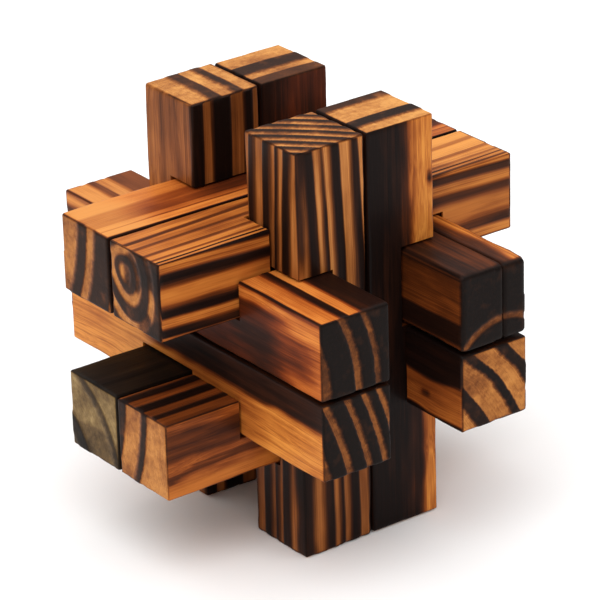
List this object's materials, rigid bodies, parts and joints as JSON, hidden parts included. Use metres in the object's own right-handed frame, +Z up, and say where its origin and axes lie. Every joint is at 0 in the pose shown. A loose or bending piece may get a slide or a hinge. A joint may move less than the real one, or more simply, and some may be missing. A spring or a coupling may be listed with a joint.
{
  "type": "wooden burr puzzle",
  "caption": "Interlocking wooden burr puzzle of notched square sticks in a six-armed cross, with a front half that slides off the back half.",
  "frame": {"origin": "middle of the footprint, on the surface that the four uprights stand on", "axes": "+Z up along the uprights, -Y to the front, the way the front half slides off, +X to the right"},
  "size_m": [0.0764, 0.0764, 0.0765],
  "materials": {
    "upright_left_back": "torched, brushed and lacquered pine",
    "upright_left_front": "torched, brushed and lacquered pine",
    "upright_right_back": "torched, brushed and lacquered pine",
    "upright_right_front": "torched, brushed and lacquered pine",
    "through_bar_lower_left": "torched, brushed and lacquered pine",
    "through_bar_lower_right": "torched, brushed and lacquered pine",
    "through_bar_upper_left": "torched, brushed and lacquered pine",
    "through_bar_upper_right": "torched, brushed and lacquered pine",
    "cross_bar_back_lower": "torched, brushed and lacquered pine",
    "cross_bar_back_upper": "torched, brushed and lacquered pine",
    "cross_bar_front_lower": "torched, brushed and lacquered pine",
    "cross_bar_front_upper": "torched, brushed and lacquered pine"
  },
  "bodies": {
    "back_half": {"upright_left_back": "upright_left_back", "upright_right_back": "upright_right_back", "through_bar_upper_left": "through_bar_upper_left", "through_bar_upper_right": "through_bar_upper_right", "cross_bar_back_upper": "cross_bar_back_upper", "cross_bar_front_upper": "cross_bar_front_upper"},
    "front_half": {"upright_left_front": "upright_left_front", "upright_right_front": "upright_right_front", "through_bar_lower_left": "through_bar_lower_left", "through_bar_lower_right": "through_bar_lower_right", "cross_bar_back_lower": "cross_bar_back_lower", "cross_bar_front_lower": "cross_bar_front_lower"}
  },
  "joints": [
    {"name": "front_half_slide", "type": "slide", "parent": "back_half", "child": "front_half", "axis": [0, -1, 0], "range_m": [0, 0.0675]}
  ]
}
